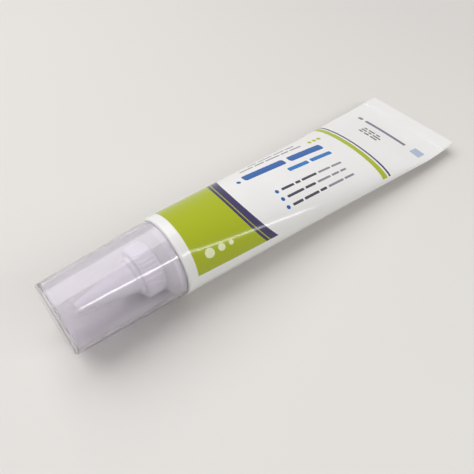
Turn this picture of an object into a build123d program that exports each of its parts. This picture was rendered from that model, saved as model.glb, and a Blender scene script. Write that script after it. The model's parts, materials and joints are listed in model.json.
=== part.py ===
from build123d import *
import math
import os

# Squeeze tube of sealant, lying on its side: a filled sleeve closed by a flat heat seal, a screw-on
# nozzle and a see-through overcap. Millimetres, +Z up, +X from the overcap's closed end to the seal.
# The origin is on the table, under the middle of the tube's box.

# Sleeve: round at its rim, filled with paste up to the flat stretch before the heat seal
sleeve_diameter = 35.0
sleeve_length = 167.0
rim_bevel = 0.9
rim_edge_length = 1.2
rigid_rim_length = 5.0
flat_length = 25.0
seal_thickness = 1.1
seal_length = 9.0
seal_height = 5.8
# Side outline of the filled stretch: the crown line falls to the flat stretch, and the underside
# lies on the table and then rises to it
crown_start_slope = -0.16
crown_end_slope = -0.28
crown_end_height = 8.4
contact_length = 84.0
contact_flat_depth = 0.25
underside_end_slope = 0.08
underside_end_height = 4.1
station_count = 8

# Head: its axis points up towards the overcap, as the wedge of the sleeve lies on its flat side
head_tilt = 3.0
spigot_length = 3.0
shoulder_rise = 2.5
neck_diameter = 12.8
neck_length = 7.0
neck_wall = 1.9
membrane_depth = 0.8

# Nozzle
collar_wall = 2.9
collar_length = 8.2
collar_bevel = 0.6
grip_rib_count = 36
grip_rib_height = 0.4
grip_rib_width = 0.9
grip_rib_margin = 0.8
ring_width = 1.4
ring_length = 1.6
ring_bevel = 0.5
spout_base_diameter = 12.8
spout_length = 23.4
spout_wall = 1.2
spout_tip_bevel = 0.4
orifice_diameter = 2.4

# Overcap
overcap_setback = 0.6
overcap_taper = 4.4
overcap_wall = 1.2
overcap_end_wall = 1.4
overcap_bevel = 0.6
tip_room = 6.5

# Fits
seat_clearance = 0.1
push_fit_clearance = 0.2
thread_depth = 1.0
neck_end_clearance = 0.4
height_tolerance = 0.01

sleeve_radius = sleeve_diameter / 2
tilt = math.radians(head_tilt)
rim_height = sleeve_radius * math.cos(tilt) - contact_flat_depth
crown_start_height = rim_height + sleeve_radius * math.cos(tilt) - rigid_rim_length * math.sin(tilt)
fill_end = sleeve_length - flat_length
seal_start = sleeve_length - seal_length

membrane_diameter = neck_diameter - 2 * neck_wall
socket_diameter = neck_diameter + 2 * thread_depth
collar_diameter = socket_diameter + 2 * collar_wall
grip_diameter = collar_diameter + 2 * grip_rib_height
ring_diameter = spout_base_diameter + 2 * ring_width
bore_diameter = spout_base_diameter - 2 * spout_wall
spout_tip_diameter = orifice_diameter + 2 * spout_wall
overcap_mouth_diameter = sleeve_diameter - 2 * overcap_setback
overcap_end_diameter = overcap_mouth_diameter - overcap_taper

# Frames: z runs outwards along the head's axis, from the middle of the sleeve's rim
head_frame = Plane(
    origin=(0, 0, rim_height),
    x_dir=(0, 1, 0),
    z_dir=(-math.cos(tilt), 0, math.sin(tilt)),
)

# Heights along the head's axis
shoulder_top = spigot_length + shoulder_rise
neck_top = shoulder_top + neck_length
collar_base = shoulder_top + seat_clearance
collar_top = collar_base + collar_length
ring_top = collar_top + ring_length
spout_tip = ring_top + spout_length
socket_top = neck_top + neck_end_clearance
overcap_end = spout_tip + tip_room + overcap_end_wall


def overcap_inner_radius(height):
    """Radius of the overcap's drafted inside at a height above its mouth."""
    share = height / overcap_end
    outer = overcap_mouth_diameter + share * (overcap_end_diameter - overcap_mouth_diameter)
    return outer / 2 - overcap_wall


def revolved(points):
    """Solid of revolution about z from a closed outline of (radius, height) points."""
    outline = make_face(Polyline(*points, close=True))
    return revolve(Plane.XZ * outline, axis=Axis.Z)


def outer_ring(solid, height):
    """Widest round edge of a solid of revolution at a height."""
    rings = solid.edges().filter_by(GeomType.CIRCLE)
    rings = rings.filter_by_position(Axis.Z, height - height_tolerance, height + height_tolerance)
    return rings.sort_by(SortBy.RADIUS)[-1]


def half_width(half_height):
    """Half width of an ellipse of that half height with the same girth as the round sleeve."""
    girth = sleeve_diameter
    b = 8 * half_height - 6 * girth
    c = 6 * half_height**2 - 6 * girth * half_height + girth**2
    return (-b + math.sqrt(b * b - 24 * c)) / 12


def smooth_run(position, start, end):
    """Height on a cubic between two (position, height, slope) ends."""
    run = end[0] - start[0]
    u = (position - start[0]) / run
    from_start = (2 * u**3 - 3 * u**2 + 1) * start[1] + (u**3 - 2 * u**2 + u) * run * start[2]
    from_end = (3 * u**2 - 2 * u**3) * end[1] + (u**3 - u**2) * run * end[2]
    return from_start + from_end


def crown(position):
    """Height of the sleeve's upper line at a distance behind the rim."""
    shoulder_end = (rigid_rim_length, crown_start_height, crown_start_slope)
    flat_start = (fill_end, crown_end_height, crown_end_slope)
    seal = (seal_start, seal_height + seal_thickness / 2, 0)
    if position < fill_end:
        return smooth_run(position, shoulder_end, flat_start)
    return smooth_run(position, flat_start, seal)


def underside(position):
    """Height of the sleeve's lower line, sunk by what the table presses flat."""
    contact_end = (contact_length, -contact_flat_depth, 0)
    flat_start = (fill_end, underside_end_height, underside_end_slope)
    seal = (seal_start, seal_height - seal_thickness / 2, 0)
    if position < contact_length:
        return -contact_flat_depth
    if position < fill_end:
        return smooth_run(position, contact_end, flat_start)
    return smooth_run(position, flat_start, seal)


def sleeve_section(position):
    """Upright elliptical section of the sleeve at a distance behind the rim."""
    half_height = (crown(position) - underside(position)) / 2
    middle = (crown(position) + underside(position)) / 2
    plane = Plane(origin=(position, 0, middle), x_dir=(0, 1, 0), z_dir=(1, 0, 0))
    return plane * Ellipse(half_width(half_height), half_height)


def rim_section(distance):
    """Round section square to the head's axis, where the rigid shoulder holds the sleeve open."""
    plane = head_frame.offset(-distance)
    return plane * Ellipse(sleeve_radius, sleeve_radius)


def make_filled_sleeve():
    """Sleeve from its round rim to the flat stretch, and the heat seal at its tail."""
    spacing = (seal_start - rigid_rim_length) / station_count
    stations = [rigid_rim_length + spacing * (i + 1) for i in range(station_count)]
    sections = [rim_section(rim_edge_length), rim_section(rigid_rim_length)]
    sections += [sleeve_section(station) for station in stations]
    seal_width = 2 * half_width(seal_thickness / 2)
    seal = Box(seal_length, seal_width, seal_thickness, align=(Align.MIN, Align.CENTER, Align.CENTER))
    return loft(sections) + Pos(seal_start, 0, seal_height) * seal


def make_head():
    """Rounded rim, spigot for the overcap, sloping shoulder and closed neck, about z."""
    spigot_radius = overcap_inner_radius(spigot_length) - push_fit_clearance
    neck_radius = neck_diameter / 2
    membrane_radius = membrane_diameter / 2
    seat_radius = grip_diameter / 2
    head = revolved([
        (0, -rim_edge_length),
        (sleeve_radius, -rim_edge_length),
        (sleeve_radius, 0),
        (spigot_radius, 0),
        (spigot_radius, spigot_length),
        (seat_radius, shoulder_top),
        (neck_radius, shoulder_top),
        (neck_radius, neck_top),
        (membrane_radius, neck_top),
        (membrane_radius, neck_top - membrane_depth),
        (0, neck_top - membrane_depth),
    ])
    return chamfer(outer_ring(head, 0), rim_bevel)


def make_tube():
    tube = make_filled_sleeve() + head_frame * make_head()
    below_table = Pos(0, 0, -sleeve_radius) * Box(4 * sleeve_length, 4 * sleeve_diameter, sleeve_diameter)
    return tube - below_table


def make_grip_ribs():
    """Upright ribs of trapezoid section round the collar."""
    collar_radius = collar_diameter / 2
    root = collar_radius - grip_rib_height
    crest = grip_diameter / 2
    section = make_face(Polyline(
        (root, -grip_rib_width / 2),
        (crest, -grip_rib_width / 4),
        (crest, grip_rib_width / 4),
        (root, grip_rib_width / 2),
        close=True,
    ))
    rib = extrude(section, collar_length - 2 * grip_rib_margin)
    base = Pos(0, 0, collar_base + grip_rib_margin)
    return [base * Rot(0, 0, 360 * i / grip_rib_count) * rib for i in range(grip_rib_count)]


def make_nozzle():
    """Ribbed collar with its socket, step and hollow tapering spout, about z."""
    socket_radius = socket_diameter / 2
    collar_radius = collar_diameter / 2
    bore_radius = bore_diameter / 2
    nozzle = revolved([
        (socket_radius, collar_base),
        (collar_radius, collar_base),
        (collar_radius, collar_top),
        (ring_diameter / 2, collar_top),
        (ring_diameter / 2, ring_top),
        (spout_base_diameter / 2, ring_top),
        (spout_tip_diameter / 2, spout_tip),
        (orifice_diameter / 2, spout_tip),
        (bore_radius, ring_top),
        (bore_radius, socket_top),
        (socket_radius, socket_top),
    ])
    nozzle = chamfer(outer_ring(nozzle, collar_top), collar_bevel)
    nozzle = chamfer(outer_ring(nozzle, ring_top), ring_bevel)
    nozzle = chamfer(outer_ring(nozzle, spout_tip), spout_tip_bevel)
    for rib in make_grip_ribs():
        nozzle += rib
    return nozzle


def make_overcap():
    """Drafted cup with a flat closed end, its mouth on the sleeve's rim, about z."""
    mouth = seat_clearance
    end = overcap_end
    inner_end = overcap_end - overcap_end_wall
    cup = revolved([
        (overcap_inner_radius(mouth), mouth),
        (overcap_inner_radius(mouth) + overcap_wall, mouth),
        (overcap_end_diameter / 2, end),
        (0, end),
        (0, inner_end),
        (overcap_inner_radius(inner_end), inner_end),
    ])
    return chamfer([outer_ring(cup, end), outer_ring(cup, inner_end)], overcap_bevel)


# Placed in the head's frame first, then moved so that the origin is under the middle of the box
pieces = {
    "tube": make_tube(),
    "nozzle": head_frame * make_nozzle(),
    "overcap": head_frame * make_overcap(),
}
boxes = [piece.bounding_box() for piece in pieces.values()]
left = min(box.min.X for box in boxes)
right = max(box.max.X for box in boxes)
to_origin = Pos(-(left + right) / 2, 0, 0)

os.makedirs("parts", exist_ok=True)
for name, piece in pieces.items():
    export_step(to_origin * piece, f"parts/{name}.step")

rim_middle = Vector(-(left + right) / 2, 0, rim_height)
print("head axis from", rim_middle, "along", head_frame.z_dir)
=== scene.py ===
import json
import math

import bmesh
import bpy
from mathutils import Matrix, Vector


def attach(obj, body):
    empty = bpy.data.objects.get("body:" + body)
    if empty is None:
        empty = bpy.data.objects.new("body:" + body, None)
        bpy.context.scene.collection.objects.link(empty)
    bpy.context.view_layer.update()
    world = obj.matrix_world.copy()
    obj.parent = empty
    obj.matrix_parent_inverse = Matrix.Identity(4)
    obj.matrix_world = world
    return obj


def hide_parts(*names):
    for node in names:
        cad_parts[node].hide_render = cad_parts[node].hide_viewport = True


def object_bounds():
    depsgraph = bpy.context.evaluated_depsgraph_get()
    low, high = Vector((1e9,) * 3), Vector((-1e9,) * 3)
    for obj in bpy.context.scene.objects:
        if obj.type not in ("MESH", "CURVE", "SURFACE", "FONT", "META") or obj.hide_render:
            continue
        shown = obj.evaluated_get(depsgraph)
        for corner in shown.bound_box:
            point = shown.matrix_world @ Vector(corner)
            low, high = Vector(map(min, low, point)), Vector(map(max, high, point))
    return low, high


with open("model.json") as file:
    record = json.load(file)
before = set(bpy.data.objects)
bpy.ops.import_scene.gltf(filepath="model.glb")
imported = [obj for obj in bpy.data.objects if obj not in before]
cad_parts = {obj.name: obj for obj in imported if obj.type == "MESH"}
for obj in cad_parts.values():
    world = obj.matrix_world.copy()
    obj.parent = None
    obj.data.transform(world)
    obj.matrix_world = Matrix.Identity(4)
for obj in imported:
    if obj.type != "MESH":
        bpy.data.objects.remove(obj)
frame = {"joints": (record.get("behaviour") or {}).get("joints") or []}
cad_low, cad_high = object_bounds()

MM = 0.001
surround_colour = "#E4E1DD"

# The head's frame, from the joint that the nozzle turns on: z runs out of the tube along the head's axis
turn = next(joint for joint in frame["joints"] if joint["name"] == "nozzle_turn")
rim_middle = Vector(turn["pos_m"])
head_axis = Vector(turn["axis"]).normalized()
head_side = Vector((0, 1, 0))
head_matrix = Matrix.Translation(rim_middle) @ Matrix(
    (head_side, head_axis.cross(head_side), head_axis)
).transposed().to_4x4()
head_upright = head_side.cross(head_axis).normalized()
head_tilt = math.asin(head_axis.z)

# Sleeve, in millimetres from the middle of its rim towards the tail
sleeve_radius = 17.5
sleeve_length = (cad_high.x - rim_middle.x) / MM
rigid_rim_length = 5.0
flat_length = 25.0
seal_length = 9.0
seal_thickness = 1.1
seal_height = 5.8
fill_end = sleeve_length - flat_length
seal_start = sleeve_length - seal_length
crown_start_slope = -0.16
crown_end_slope = -0.28
crown_end_height = 8.4
contact_length = 84.0
contact_flat_depth = 0.25
underside_end_slope = 0.08
underside_end_height = 4.1
rim_height = rim_middle.z / MM
rim_crown_height = rim_height + sleeve_radius * math.cos(head_tilt)
crown_start_height = rim_crown_height - rigid_rim_length * math.sin(head_tilt)
girth = 2 * math.pi * sleeve_radius
oval_power = 2.0
seal_power = 8.0
sleeve_segments = 144
row_spacing = 2.0

# Head, nozzle and overcap: (radius, height above the rim) in millimetres
rim_round = 1.0
spigot_length = 3.0
shoulder_top = 5.5
neck_radius = 6.4
neck_top = 12.5
membrane_radius = 4.5
membrane_depth = 0.8
collar_base = 5.6
collar_radius = 10.3
collar_top = 13.8
rib_count = 36
rib_height = 0.4
rib_margin = 0.8
socket_radius = 7.4
socket_top = 12.9
ring_radius = 7.8
ring_top = 15.4
spout_base_radius = 6.4
spout_tip_radius = 2.4
spout_tip = 38.8
bore_radius = 5.2
orifice_radius = 1.2
overcap_mouth = 0.1
overcap_mouth_radius = 16.9
overcap_end = 46.7
overcap_end_radius = 14.7
overcap_wall = 1.2
overcap_end_wall = 1.4
push_fit_clearance = 0.2
thread_pitch = 2.2
thread_turns = 2.3
thread_depth = 0.75
turned_segments = 128
segments_per_rib = 8
thread_segments = 64
sharp_angle = math.radians(35)


def linear(hex_colour):
    """Linear colour of an sRGB hex value."""
    channels = [int(hex_colour[i:i + 2], 16) / 255 for i in (1, 3, 5)]
    return [c / 12.92 if c <= 0.04045 else ((c + 0.055) / 1.055) ** 2.4 for c in channels] + [1.0]


def add_node(tree, kind, inputs=None, **settings):
    """Adds a node with its settings, and its inputs as values or links."""
    node = tree.nodes.new(kind)
    for name, value in settings.items():
        setattr(node, name, value)
    for name, value in (inputs or {}).items():
        if isinstance(value, bpy.types.NodeSocket):
            tree.links.new(value, node.inputs[name])
        else:
            node.inputs[name].default_value = value
    return node


def new_material(name):
    """A node material with an empty tree."""
    material = bpy.data.materials.new(name)
    material.use_nodes = True
    material.node_tree.nodes.clear()
    return material, material.node_tree


# Print, in millimetres: u from the rim towards the tail, v round the sleeve from its crown line,
# positive towards the near side. A bar is (middle u, middle v, length, height, corner radius)
print_start = 4.4
print_half_girth = 25.0
field_arc_middle = 74.0
field_arc_radius = 44.0
arc_band_width = 5.0
hairline_offset = 1.3
hairline_width = 0.45
word_gap = 1.0
word_round = 0.3
bold_height = 1.25
light_height = 1.1
code_height = 1.3
code_gap = 0.9
code_start = -9.0
bullet_rows = (7.4, 11.6, 15.8)
dot_row = -13.6
drop_row = 17.5
lime = "#A9B502"
violet = "#3C3260"


def row_of_words(start, v, height, lengths, gap, crosswise=False):
    """Bars in a row, as words stand in a line of small print."""
    bars = []
    for length in lengths:
        middle = start + length / 2
        place = (v, middle, height, length) if crosswise else (middle, v, length, height)
        bars.append((*place, word_round * height))
        start += length + gap
    return bars


title_bars = row_of_words(47, -7.0, 4.2, (25, 23), 2.6) + [(43.6, -5.9, 2.0, 2.0, 0.95)]
subtitle_bars = row_of_words(68.5, -0.6, 2.3, (13, 14.5), 1.6)
bullet_bars = [(54.0, v, 1.9, 1.9, 0.9) for v in bullet_rows]
bold_print_bars = (
    row_of_words(56.8, bullet_rows[0], bold_height, (7.5, 3.0, 9.5), word_gap)
    + row_of_words(56.8, bullet_rows[1], bold_height, (10.0, 6.5), word_gap)
    + row_of_words(56.8, bullet_rows[2], bold_height, (6.0, 9.0, 4.0), word_gap)
)
light_print_bars = (
    row_of_words(80.2, bullet_rows[0], light_height, (8.0, 7.0), word_gap)
    + row_of_words(75.7, bullet_rows[1], light_height, (8.5, 5.0, 4.0), word_gap)
    + row_of_words(79.2, bullet_rows[2], light_height, (10.0, 6.5), word_gap)
    + row_of_words(50.0, dot_row, light_height, (8.0, 6.0, 9.0, 5.0, 7.5), word_gap)
    + row_of_words(57.0, -16.6, light_height, (5.5, 9.0, 7.0, 6.0), word_gap)
)
lime_dot_bars = [(u, dot_row, 2.4, 2.4, 1.15) for u in (96.0, 99.4, 102.8)]
tail_stripe_bars = [(112.0, 0, 3.2, 2 * print_half_girth, 0)]
tail_line_bars = [(115.4, 0, 1.2, 2 * print_half_girth, 0)]
code_bars = (
    row_of_words(code_start, 130.5, code_height, (2.6, 3.2, 4.4), code_gap, crosswise=True)
    + row_of_words(code_start, 133.0, code_height, (3.6, 2.2, 5.0), code_gap, crosswise=True)
    + row_of_words(code_start, 135.5, code_height, (2.2, 4.0, 2.6), code_gap, crosswise=True)
)
tail_mark_bars = row_of_words(-19.0, 143.0, 2.4, (3.0, 27.0), 2.0, crosswise=True)
patch_bars = [(143.5, 20.5, 6.0, 6.0, 0.4)]
drop_bars = [
    (12.0, drop_row, 4.2, 4.2, 2.09),
    (17.6, drop_row, 3.2, 3.2, 1.59),
    (22.2, drop_row, 2.2, 2.2, 1.09),
]


def bars_mask(tree, place, bars):
    """Mask of 1 on rounded bars and 0 elsewhere, at a (u, v) place in metres."""
    square_corner = 0.001
    vector, number = "ShaderNodeVectorMath", "ShaderNodeMath"
    total = None
    for u, v, length, height, corner in bars:
        middle = (u * MM, v * MM, 0)
        half = ((length / 2 - corner) * MM, (height / 2 - corner) * MM, 0)
        edge = max(corner, square_corner) * MM
        offset = add_node(tree, vector, {0: place, 1: middle}, operation="SUBTRACT").outputs[0]
        away = add_node(tree, vector, {0: offset}, operation="ABSOLUTE").outputs[0]
        past = add_node(tree, vector, {0: away, 1: half}, operation="SUBTRACT").outputs[0]
        outside = add_node(tree, vector, {0: past, 1: (0, 0, 0)}, operation="MAXIMUM").outputs[0]
        distance = add_node(tree, vector, {0: outside}, operation="LENGTH").outputs["Value"]
        inside = add_node(tree, number, {0: distance, 1: edge}, operation="LESS_THAN").outputs[0]
        if total is None:
            total = inside
        else:
            total = add_node(tree, number, {0: total, 1: inside}, operation="MAXIMUM").outputs[0]
    return total


def arc_range_mask(tree, place, side, inner, outer):
    """Mask of the printed side's ring round the middle of the field's arc, between two radii in mm."""
    vector, number = "ShaderNodeVectorMath", "ShaderNodeMath"
    middle = (field_arc_middle * MM, 0, 0)
    offset = add_node(tree, vector, {0: place, 1: middle}, operation="SUBTRACT").outputs[0]
    radius = add_node(tree, vector, {0: offset}, operation="LENGTH").outputs["Value"]
    mask = side
    for limit, operation in ((inner, "GREATER_THAN"), (outer, "LESS_THAN")):
        kept = add_node(tree, number, {0: radius, 1: limit * MM}, operation=operation).outputs[0]
        mask = add_node(tree, number, {0: mask, 1: kept}, operation="MULTIPLY").outputs[0]
    return mask


def printed_laminate():
    """White polyethylene laminate, extruded smooth, flexo printed and varnished: a satin white that
    reflects lamps as soft streaks, with flat fields of ink under the same varnish."""
    material, tree = new_material("printed_laminate")
    patch_size, sag_size, skin_size = 18 * MM, 26 * MM, 0.7 * MM
    sag_depth, skin_depth = 0.6 * MM, 0.05 * MM
    place = add_node(tree, "ShaderNodeUVMap", uv_map="print").outputs[0]
    object_place = add_node(tree, "ShaderNodeTexCoord").outputs["Object"]

    tone = add_node(
        tree, "ShaderNodeTexNoise", {"Vector": object_place, "Scale": 1 / patch_size, "Detail": 3.0}
    ).outputs[0]
    colour = add_node(
        tree, "ShaderNodeMix", {0: tone, 6: linear("#F1F0EE"), 7: linear("#E9E8E7")}, data_type="RGBA"
    ).outputs[2]

    field_length = field_arc_middle - print_start
    field = (print_start + field_length / 2, 0, field_length, 2 * print_half_girth, 0)
    printed_side = bars_mask(tree, place, [field])
    arc_inner = field_arc_radius - arc_band_width
    hair_outer = field_arc_radius - hairline_offset
    hair_inner = hair_outer - hairline_width
    inks = [
        (arc_range_mask(tree, place, printed_side, field_arc_radius, 2 * field_arc_middle), lime),
        (arc_range_mask(tree, place, printed_side, arc_inner, field_arc_radius), violet),
        (arc_range_mask(tree, place, printed_side, hair_inner, hair_outer), lime),
        (bars_mask(tree, place, drop_bars), "#E9EFC2"),
        (bars_mask(tree, place, title_bars), "#005AA6"),
        (bars_mask(tree, place, subtitle_bars), "#1A74BE"),
        (bars_mask(tree, place, bullet_bars), "#1A62AC"),
        (bars_mask(tree, place, bold_print_bars), "#474453"),
        (bars_mask(tree, place, light_print_bars), "#8A8796"),
        (bars_mask(tree, place, lime_dot_bars), lime),
        (bars_mask(tree, place, tail_stripe_bars), lime),
        (bars_mask(tree, place, tail_line_bars), violet),
        (bars_mask(tree, place, code_bars), "#4A4852"),
        (bars_mask(tree, place, tail_mark_bars), "#77738A"),
        (bars_mask(tree, place, patch_bars), "#AEBBD0"),
    ]
    for mask, ink in inks:
        colour = add_node(
            tree, "ShaderNodeMix", {0: mask, 6: colour, 7: linear(ink)}, data_type="RGBA"
        ).outputs[2]

    sag = add_node(
        tree, "ShaderNodeTexNoise", {"Vector": object_place, "Scale": 1 / sag_size, "Detail": 1.0}
    ).outputs[0]
    sag_bump = add_node(
        tree, "ShaderNodeBump", {"Height": sag, "Strength": 0.25, "Distance": sag_depth}
    ).outputs[0]
    skin = add_node(
        tree, "ShaderNodeTexNoise", {"Vector": object_place, "Scale": 1 / skin_size, "Detail": 2.0}
    ).outputs[0]
    bump = add_node(
        tree, "ShaderNodeBump",
        {"Height": skin, "Strength": 0.05, "Distance": skin_depth, "Normal": sag_bump},
    ).outputs[0]
    shader = add_node(
        tree, "ShaderNodeBsdfPrincipled",
        {"Base Color": colour, "Roughness": 0.16, "IOR": 1.5, "Normal": bump},
    )
    add_node(tree, "ShaderNodeOutputMaterial", {"Surface": shader.outputs[0]})
    return material


def white_polyethylene():
    """White moulded polyethylene of the shoulder and neck: waxy, soft gloss."""
    material, tree = new_material("white_polyethylene")
    grain_size, grain_depth = 1.2 * MM, 0.1 * MM
    place = add_node(tree, "ShaderNodeTexCoord").outputs["Object"]
    grain = add_node(
        tree, "ShaderNodeTexNoise", {"Vector": place, "Scale": 1 / grain_size, "Detail": 2.0}
    ).outputs[0]
    bump = add_node(
        tree, "ShaderNodeBump", {"Height": grain, "Strength": 0.05, "Distance": grain_depth}
    ).outputs[0]
    shader = add_node(
        tree, "ShaderNodeBsdfPrincipled",
        {"Base Color": linear("#ECEBEA"), "Roughness": 0.38, "IOR": 1.51, "Normal": bump},
    )
    add_node(tree, "ShaderNodeOutputMaterial", {"Surface": shader.outputs[0]})
    return material


def natural_polyethylene():
    """Undyed polyethylene of the nozzle: a milky moulding that light passes into and softens."""
    material, tree = new_material("natural_polyethylene")
    grain_size, grain_depth = 1.0 * MM, 0.1 * MM
    place = add_node(tree, "ShaderNodeTexCoord").outputs["Object"]
    grain = add_node(
        tree, "ShaderNodeTexNoise", {"Vector": place, "Scale": 1 / grain_size, "Detail": 2.0}
    ).outputs[0]
    bump = add_node(
        tree, "ShaderNodeBump", {"Height": grain, "Strength": 0.05, "Distance": grain_depth}
    ).outputs[0]
    finish = {"Base Color": linear("#F4F3F6"), "Roughness": 0.32, "IOR": 1.51, "Transmission Weight": 0.1}
    shader = add_node(tree, "ShaderNodeBsdfPrincipled", {**finish, "Normal": bump})
    add_node(tree, "ShaderNodeOutputMaterial", {"Surface": shader.outputs[0]})
    return material


def clear_polypropylene(name, roughness, clarity):
    """Clarified polypropylene of the overcap: polished outside by its mould, left fine-grained inside by the
    core, and with a slight haze in the wall, which catches the light and pales what is seen through it."""
    material, tree = new_material(name)
    flow_size, flow_depth = 6 * MM, 0.2 * MM
    haze_depth, even_spread = 3 * MM, (1.0, 1.0, 1.0)
    place = add_node(tree, "ShaderNodeTexCoord").outputs["Object"]
    flow = add_node(
        tree, "ShaderNodeTexNoise", {"Vector": place, "Scale": 1 / flow_size, "Detail": 2.0}
    ).outputs[0]
    bump = add_node(
        tree, "ShaderNodeBump", {"Height": flow, "Strength": 0.08, "Distance": flow_depth}
    ).outputs[0]
    finish = {"Base Color": linear("#F6F3FB"), "IOR": 1.49, "Transmission Weight": clarity}
    haze = {"Subsurface Weight": 1.0, "Subsurface Radius": even_spread, "Subsurface Scale": haze_depth}
    shader = add_node(
        tree, "ShaderNodeBsdfPrincipled", {**finish, **haze, "Roughness": roughness, "Normal": bump}
    )
    add_node(tree, "ShaderNodeOutputMaterial", {"Surface": shader.outputs[0]})
    return material


def seen_ray(tree):
    """1 on rays from the camera, and on its rays after gloss or clear plastic."""
    path = add_node(tree, "ShaderNodeLightPath")
    seen = path.outputs["Is Camera Ray"]
    for ray in ("Is Glossy Ray", "Is Transmission Ray"):
        inputs = {0: seen, 1: path.outputs[ray]}
        seen = add_node(tree, "ShaderNodeMath", inputs, operation="MAXIMUM").outputs[0]
    return seen


def pale_floor():
    """Matt pale tabletop that fades into the surround beyond the tube's shadow."""
    fade_start, fade_end = 0.2, 0.55
    material, tree = new_material("pale_floor")
    place = add_node(tree, "ShaderNodeTexCoord").outputs["Object"]
    distance = add_node(tree, "ShaderNodeVectorMath", {0: place}, operation="LENGTH").outputs["Value"]
    fade = add_node(
        tree, "ShaderNodeMapRange", {"Value": distance, "From Min": fade_start, "From Max": fade_end},
        interpolation_type="SMOOTHSTEP",
    ).outputs[0]
    fade = add_node(tree, "ShaderNodeMath", {0: fade, 1: seen_ray(tree)}, operation="MULTIPLY").outputs[0]
    matt = add_node(tree, "ShaderNodeBsdfPrincipled", {"Base Color": linear("#DFDCD8"), "Roughness": 0.7})
    far = add_node(tree, "ShaderNodeEmission", {"Color": linear(surround_colour)})
    shader = add_node(tree, "ShaderNodeMixShader", {0: fade, 1: matt.outputs[0], 2: far.outputs[0]})
    add_node(tree, "ShaderNodeOutputMaterial", {"Surface": shader.outputs[0]})
    return material


def put_in_order(shape):
    """Orders vertices and faces by place, because spin leaves them in another order on each run."""
    by_place = sorted(shape.verts, key=lambda vertex: tuple(vertex.co))
    for rank, vertex in enumerate(by_place):
        vertex.index = rank
    by_vertices = sorted(shape.faces, key=lambda face: sorted(vertex.index for vertex in face.verts))
    for rank, face in enumerate(by_vertices):
        face.index = rank
    shape.verts.sort()
    shape.faces.sort()


def finish_piece(name, shape, materials, body, node):
    """Makes the mesh object, rides it on its body and lets it stand for its CAD node."""
    put_in_order(shape)
    mesh = bpy.data.meshes.new(name)
    shape.to_mesh(mesh)
    shape.free()
    for material in materials:
        mesh.materials.append(material)
    mesh.shade_smooth()
    mesh.set_sharp_from_angle(angle=sharp_angle)
    piece = bpy.data.objects.new(name, mesh)
    bpy.context.scene.collection.objects.link(piece)
    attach(piece, body)
    if node:
        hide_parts(node)
    return piece


def smooth_run(position, start, end):
    """Height on a cubic between two (position, height, slope) ends."""
    run = end[0] - start[0]
    u = (position - start[0]) / run
    from_start = (2 * u**3 - 3 * u**2 + 1) * start[1] + (u**3 - 2 * u**2 + u) * run * start[2]
    from_end = (3 * u**2 - 2 * u**3) * end[1] + (u**3 - u**2) * run * end[2]
    return from_start + from_end


def crown(position):
    """Height of the sleeve's upper line at a distance behind the rim."""
    flat_start = (fill_end, crown_end_height, crown_end_slope)
    seal = (seal_start, seal_height + seal_thickness / 2, 0)
    if position < fill_end:
        return smooth_run(position, (rigid_rim_length, crown_start_height, crown_start_slope), flat_start)
    return smooth_run(min(position, seal_start), flat_start, seal)


def underside(position):
    """Height of the sleeve's lower line, sunk by what the table presses flat."""
    flat_start = (fill_end, underside_end_height, underside_end_slope)
    seal = (seal_start, seal_height - seal_thickness / 2, 0)
    if position < contact_length:
        return -contact_flat_depth
    if position < fill_end:
        return smooth_run(position, (contact_length, -contact_flat_depth, 0), flat_start)
    return smooth_run(min(position, seal_start), flat_start, seal)


def half_width(half_height):
    """Half width of an ellipse of that half height with the round sleeve's girth."""
    across = 2 * sleeve_radius
    b = 8 * half_height - 6 * across
    c = 6 * half_height**2 - 6 * across * half_height + across**2
    return (-b + math.sqrt(b * b - 24 * c)) / 12


def even_outline(half_across, half_high, power):
    """Points at even steps of girth round a rounded section, from its lowest point and back to it.
    A power of 2 gives an oval, and a higher one squarer ends."""
    fine_steps = 20 * sleeve_segments
    least_span = 1e-9
    outline = []
    for i in range(fine_steps + 1):
        angle = -math.pi / 2 + 2 * math.pi * i / fine_steps
        c, s = math.cos(angle), math.sin(angle)
        across = -math.copysign(abs(c) ** (2 / power), c) * half_across
        high = math.copysign(abs(s) ** (2 / power), s) * half_high
        outline.append(Vector((across, high)))
    lengths = [0.0]
    for first, second in zip(outline, outline[1:]):
        lengths.append(lengths[-1] + (second - first).length)
    points, k = [], 0
    for i in range(sleeve_segments + 1):
        wanted = lengths[-1] * i / sleeve_segments
        while k < fine_steps - 1 and lengths[k + 1] < wanted:
            k += 1
        span = max(lengths[k + 1] - lengths[k], least_span)
        points.append(outline[k].lerp(outline[k + 1], (wanted - lengths[k]) / span))
    return points


def on_table(points):
    """The points, with those below the table raised to it."""
    return [Vector((p.x, p.y, max(p.z, 0))) for p in points]


def head_ring(radius, height):
    """Ring of points about the head's axis, in step with the sleeve's rings."""
    middle = rim_middle + head_axis * height * MM
    ring = even_outline(radius, radius, oval_power)
    return on_table([middle + (head_side * p.x + head_upright * p.y) * MM for p in ring])


def sleeve_ring(position):
    """Ring of points of the sleeve at a distance behind the rim: square to the head's axis where the
    shoulder holds it round, and upright behind that."""
    if position <= rigid_rim_length:
        return head_ring(sleeve_radius, -position)
    half_high = (crown(position) - underside(position)) / 2
    ring = even_outline(half_width(half_high), half_high, seal_power if position > seal_start else oval_power)
    middle = Vector((rim_middle.x, 0, 0)) + Vector((position, 0, crown(position) - half_high)) * MM
    return on_table([middle + Vector((0, p.x, p.y)) * MM for p in ring])


def corner_arc(middle, radius, start_degrees, end_degrees, steps):
    """(radius, height) points on an arc, for a rounded edge of a turned profile."""
    points = []
    for i in range(steps + 1):
        angle = math.radians(start_degrees + (end_degrees - start_degrees) * i / steps)
        points.append((middle[0] + radius * math.cos(angle), middle[1] + radius * math.sin(angle)))
    return points


def overcap_inner_radius(height):
    """Radius of the overcap's drafted inside at a height above the rim."""
    share = height / overcap_end
    return overcap_mouth_radius + share * (overcap_end_radius - overcap_mouth_radius) - overcap_wall


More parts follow.
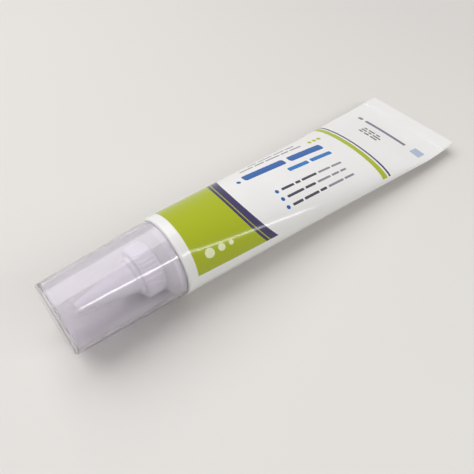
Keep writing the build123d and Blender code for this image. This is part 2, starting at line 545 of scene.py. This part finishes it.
def make_tube(laminate, polyethylene):
    """Sleeve, seal, rim, shoulder and neck as one skin, from the neck's membrane to the tail."""
    spigot_radius = overcap_inner_radius(spigot_length) - push_fit_clearance
    seat_radius = collar_radius + rib_height
    membrane = neck_top - membrane_depth
    pole_radius, merge_distance = 0.01, 0.004
    membrane_edge, neck_edge, foot_edge, tail_edge = 0.2, 0.3, 0.15, 0.15
    seat_edge_width, seat_edge_drop = 0.5, 0.2
    slope_end_width, slope_end_rise, slope_degrees = 0.6, 0.3, 62
    spigot_edge = 0.5
    rim_steps = 8
    head_profile = [
        (pole_radius, membrane),
        (membrane_radius - membrane_edge, membrane),
        (membrane_radius, membrane + membrane_edge),
        (membrane_radius, neck_top - membrane_edge),
        (membrane_radius + membrane_edge, neck_top),
        *corner_arc((neck_radius - neck_edge, neck_top - neck_edge), neck_edge, 90, 0, 3),
        (neck_radius, shoulder_top + neck_edge),
        (neck_radius + neck_edge, shoulder_top),
        (seat_radius, shoulder_top),
        (seat_radius + seat_edge_width, shoulder_top - seat_edge_drop),
        (spigot_radius - slope_end_width, spigot_length + slope_end_rise),
        *corner_arc(
            (spigot_radius - spigot_edge, spigot_length - spigot_edge), spigot_edge, slope_degrees, 0, 4
        ),
        (spigot_radius, foot_edge),
        (spigot_radius + foot_edge, 0),
        *corner_arc((sleeve_radius - rim_round, -rim_round), rim_round, 90, 0, rim_steps),
    ]
    rim_row = len(head_profile) - (rim_steps + 1)
    positions = [1.4, 2.4, 3.6, rigid_rim_length]
    rows = round((seal_start - rigid_rim_length) / row_spacing)
    positions += [rigid_rim_length + (seal_start - rigid_rim_length) * (i + 1) / rows for i in range(rows)]
    positions += [seal_start + 0.25, seal_start + 3, seal_start + 6, sleeve_length - tail_edge, sleeve_length]
    rings = [head_ring(radius, height) for radius, height in head_profile]
    rings += [sleeve_ring(position) for position in positions]
    along = [-height for _, height in head_profile] + positions

    shape = bmesh.new()
    bmesh.ops.create_grid(shape, x_segments=sleeve_segments, y_segments=len(rings) - 1, size=1)
    print_map = shape.loops.layers.uv.new("print")
    places = {}
    for vertex in shape.verts:
        column = round((vertex.co.x + 1) / 2 * sleeve_segments)
        row = round((vertex.co.y + 1) / 2 * (len(rings) - 1))
        places[vertex] = (column, row)
    for face in shape.faces:
        rows_of_face = [places[loop.vert][1] for loop in face.loops]
        face.material_index = 1 if max(rows_of_face) <= rim_row else 0
        for loop in face.loops:
            column, row = places[loop.vert]
            round_sleeve = (0.5 - column / sleeve_segments) * girth
            loop[print_map].uv = (along[row] * MM, round_sleeve * MM)
    for vertex, (column, row) in places.items():
        vertex.co = rings[row][column]
    bmesh.ops.remove_doubles(shape, verts=shape.verts, dist=merge_distance * MM)
    bmesh.ops.holes_fill(shape, edges=shape.edges, sides=2 * sleeve_segments)
    bmesh.ops.recalc_face_normals(shape, faces=shape.faces)
    return finish_piece("tube_skin", shape, [laminate, polyethylene], "tube", "tube")


def turned(profile, steps, closed):
    """Mesh of a (radius, height) profile turned about z, for the head's frame."""
    merge_distance = 0.002
    shape = bmesh.new()
    vertices = [shape.verts.new((radius * MM, 0, height * MM)) for radius, height in profile]
    pairs = list(zip(vertices, vertices[1:]))
    if closed:
        pairs.append((vertices[-1], vertices[0]))
    edges = [shape.edges.new(pair) for pair in pairs]
    bmesh.ops.spin(
        shape, geom=vertices + edges, cent=(0, 0, 0), axis=(0, 0, 1), angle=2 * math.pi,
        steps=steps, use_merge=True,
    )
    bmesh.ops.remove_doubles(shape, verts=shape.verts, dist=merge_distance * MM)
    bmesh.ops.recalc_face_normals(shape, faces=shape.faces)
    return shape


def make_nozzle(polyethylene):
    """Ribbed collar with its socket, ring and hollow tapering spout."""
    foot_edge, collar_edge, ring_edge, tip_edge = 0.3, 0.6, 0.5, 0.4
    socket_edge, orifice_edge = 0.2, 0.1
    spout_foot, spout_foot_rise, spout_degrees = 0.1, 0.4, 8
    rib_low, rib_high = collar_base + rib_margin, collar_top - rib_margin
    rib_run_out, rib_run_in = 0.1, 0.4
    rib_fullness = 1.6
    radius_tolerance = 0.01
    profile = [
        (socket_radius + foot_edge, collar_base),
        *corner_arc((collar_radius - foot_edge, collar_base + foot_edge), foot_edge, -90, 0, 3),
        (collar_radius, rib_low - rib_run_out),
        (collar_radius, rib_low + rib_run_in),
        (collar_radius, rib_high - rib_run_in),
        (collar_radius, rib_high + rib_run_out),
        *corner_arc((collar_radius - collar_edge, collar_top - collar_edge), collar_edge, 0, 90, 5),
        (ring_radius + foot_edge, collar_top),
        (ring_radius, collar_top + foot_edge),
        *corner_arc((ring_radius - ring_edge, ring_top - ring_edge), ring_edge, 0, 90, 4),
        (spout_base_radius + foot_edge, ring_top),
        (spout_base_radius - spout_foot, ring_top + spout_foot_rise),
        *corner_arc((spout_tip_radius - tip_edge, spout_tip - tip_edge), tip_edge, spout_degrees, 90, 4),
        (orifice_radius + orifice_edge, spout_tip),
        (orifice_radius, spout_tip - orifice_edge),
        (bore_radius, ring_top),
        (bore_radius, socket_top + socket_edge),
        (bore_radius + socket_edge, socket_top),
        (socket_radius - socket_edge, socket_top),
        (socket_radius, socket_top - socket_edge),
        (socket_radius, collar_base + foot_edge),
    ]
    shape = turned(profile, rib_count * segments_per_rib, closed=True)
    for vertex in shape.verts:
        radius = Vector((vertex.co.x, vertex.co.y)).length
        if radius > (collar_radius - radius_tolerance) * MM and rib_low * MM < vertex.co.z < rib_high * MM:
            wave = 0.5 + 0.5 * math.cos(rib_count * math.atan2(vertex.co.y, vertex.co.x))
            grow = 1 + rib_height * MM * min(1.0, rib_fullness * wave) / radius
            vertex.co.x *= grow
            vertex.co.y *= grow
    bmesh.ops.transform(shape, matrix=head_matrix, verts=shape.verts)
    return finish_piece("nozzle_moulding", shape, [polyethylene], "nozzle", "nozzle")


def make_overcap(polished, grained, hazy):
    """Drafted cup with rounded edges and a flat closed end, polished outside and grained inside. Its edges
    look hazier than its walls, because they are seen through the length of the wall."""
    inner_end = overcap_end - overcap_end_wall
    inner_end_radius = overcap_inner_radius(inner_end)
    mouth_inner = overcap_inner_radius(overcap_mouth)
    mouth_outer = mouth_inner + overcap_wall
    outer_edge, inner_edge, mouth_edge, draft_degrees = 0.7, 0.8, 0.25, 3
    profile = [
        (0, inner_end),
        *corner_arc(
            (inner_end_radius - inner_edge, inner_end - inner_edge), inner_edge, 90, draft_degrees, 6
        ),
        (mouth_inner, overcap_mouth + mouth_edge),
        (mouth_inner + mouth_edge, overcap_mouth),
        (mouth_outer - mouth_edge, overcap_mouth),
        (mouth_outer, overcap_mouth + mouth_edge),
        *corner_arc(
            (overcap_end_radius - outer_edge, overcap_end - outer_edge), outer_edge, draft_degrees, 90, 6
        ),
        (0, overcap_end),
    ]
    shape = turned(profile, turned_segments, closed=False)
    for face in shape.faces:
        middle = face.calc_center_median() / MM
        radius = middle.xy.length
        in_bore = radius < overcap_inner_radius(middle.z) + overcap_wall / 2
        at_mouth = middle.z < overcap_mouth + mouth_edge
        at_end = middle.z > overcap_end - outer_edge and radius > overcap_end_radius - outer_edge
        if at_mouth or at_end:
            face.material_index = 2
        elif in_bore and middle.z < overcap_end - overcap_end_wall / 2:
            face.material_index = 1
    bmesh.ops.transform(shape, matrix=head_matrix, verts=shape.verts)
    materials = [polished, grained, hazy]
    return finish_piece("overcap_moulding", shape, materials, "overcap", "overcap")


def make_neck_thread(polyethylene):
    """Helical thread on the neck, inside the nozzle's socket."""
    start = shoulder_top + 0.9
    root = neck_radius - 0.1
    crest = neck_radius + thread_depth
    outline = [(root, 0), (crest, 0.45), (crest, 0.85), (root, 1.3)]
    shape = bmesh.new()
    vertices = [shape.verts.new((radius * MM, 0, (start + height) * MM)) for radius, height in outline]
    edges = [shape.edges.new(pair) for pair in zip(vertices, vertices[1:] + vertices[:1])]
    section = shape.faces.new(vertices)
    rise = Vector((0, 0, thread_pitch * MM / thread_segments))
    bmesh.ops.spin(
        shape, geom=vertices + edges + [section], cent=(0, 0, 0), axis=(0, 0, 1), dvec=rise,
        angle=2 * math.pi * thread_turns, steps=round(thread_segments * thread_turns),
    )
    bmesh.ops.recalc_face_normals(shape, faces=shape.faces)
    bmesh.ops.transform(shape, matrix=head_matrix, verts=shape.verts)
    return finish_piece("neck_thread", shape, [polyethylene], "tube", None)


def make_floor():
    """Pale tabletop under the tube."""
    half_size = 3.0
    shape = bmesh.new()
    bmesh.ops.create_grid(shape, x_segments=1, y_segments=1, size=half_size)
    mesh = bpy.data.meshes.new("floor")
    shape.to_mesh(mesh)
    shape.free()
    mesh.materials.append(pale_floor())
    floor = bpy.data.objects.new("floor", mesh)
    bpy.context.scene.collection.objects.link(floor)


def add_softbox(name, start, end, target, height, power):
    """Rectangular lamp whose middle line runs between two points, facing a third."""
    start, end, target = Vector(start), Vector(end), Vector(target)
    middle = (start + end) / 2
    across = (end - start).normalized()
    back = middle - target
    back = (back - across * back.dot(across)).normalized()
    lamp = bpy.data.lights.new(name, "AREA")
    lamp.shape = "RECTANGLE"
    lamp.size = (end - start).length
    lamp.size_y = height
    lamp.energy = power
    softbox = bpy.data.objects.new(name, lamp)
    facing = Matrix((across, back.cross(across), back)).transposed().to_4x4()
    softbox.matrix_world = Matrix.Translation(middle) @ facing
    bpy.context.scene.collection.objects.link(softbox)


def light_scene():
    """Large soft key from above and behind, a narrow strip from the front for the streak on the gloss,
    and an even surround that looks paler than it lights."""
    surround_light = 0.27
    world = bpy.data.worlds.new("surround")
    world.use_nodes = True
    tree = world.node_tree
    tree.nodes.clear()
    white = linear("#FFFFFF")
    lighting = add_node(tree, "ShaderNodeBackground", {"Color": white, "Strength": surround_light})
    backdrop = add_node(tree, "ShaderNodeBackground", {"Color": linear(surround_colour), "Strength": 1.0})
    surround = add_node(
        tree, "ShaderNodeMixShader", {0: seen_ray(tree), 1: lighting.outputs[0], 2: backdrop.outputs[0]}
    )
    add_node(tree, "ShaderNodeOutputWorld", {"Surface": surround.outputs[0]})
    bpy.context.scene.world = world
    middle = (0, 0, 0.015)
    add_softbox("key_softbox", (-0.95, 0.25, 0.85), (0.35, 0.55, 0.85), middle, height=1.0, power=9.5)
    add_softbox("front_strip", (-0.15, -0.423, 0.508), (0.40, -0.50, 0.23), middle, height=0.035, power=1.0)


def make_camera():
    """Camera where the picture was taken from, by a fit of the tube's outline."""
    focal_pixels, frame_pixels, sensor = 447.6, 474, 36.0
    azimuth, elevation = math.radians(-39.46), math.radians(51.28)
    place = Vector((-0.10491, -0.10077, 0.16344))
    back = Vector((
        math.sin(azimuth) * math.cos(elevation), -math.cos(azimuth) * math.cos(elevation), math.sin(elevation)
    ))
    right = Vector((math.cos(azimuth), math.sin(azimuth), 0))
    up = back.cross(right)
    lens = bpy.data.cameras.new("camera")
    lens.sensor_width = sensor
    lens.lens = focal_pixels / frame_pixels * sensor
    lens.clip_start = 0.01
    camera = bpy.data.objects.new("camera", lens)
    camera.matrix_world = Matrix.Translation(place) @ Matrix((right, up, back)).transposed().to_4x4()
    bpy.context.scene.collection.objects.link(camera)
    bpy.context.scene.camera = camera


polyethylene = white_polyethylene()
make_tube(printed_laminate(), polyethylene)
make_neck_thread(polyethylene)
make_nozzle(natural_polyethylene())
make_overcap(
    clear_polypropylene("polished_polypropylene", roughness=0.08, clarity=0.91),
    clear_polypropylene("grained_polypropylene", roughness=0.14, clarity=0.91),
    clear_polypropylene("edge_polypropylene", roughness=0.08, clarity=0.6),
)
make_floor()
light_scene()
make_camera()
bpy.context.scene.view_settings.view_transform = "Standard"
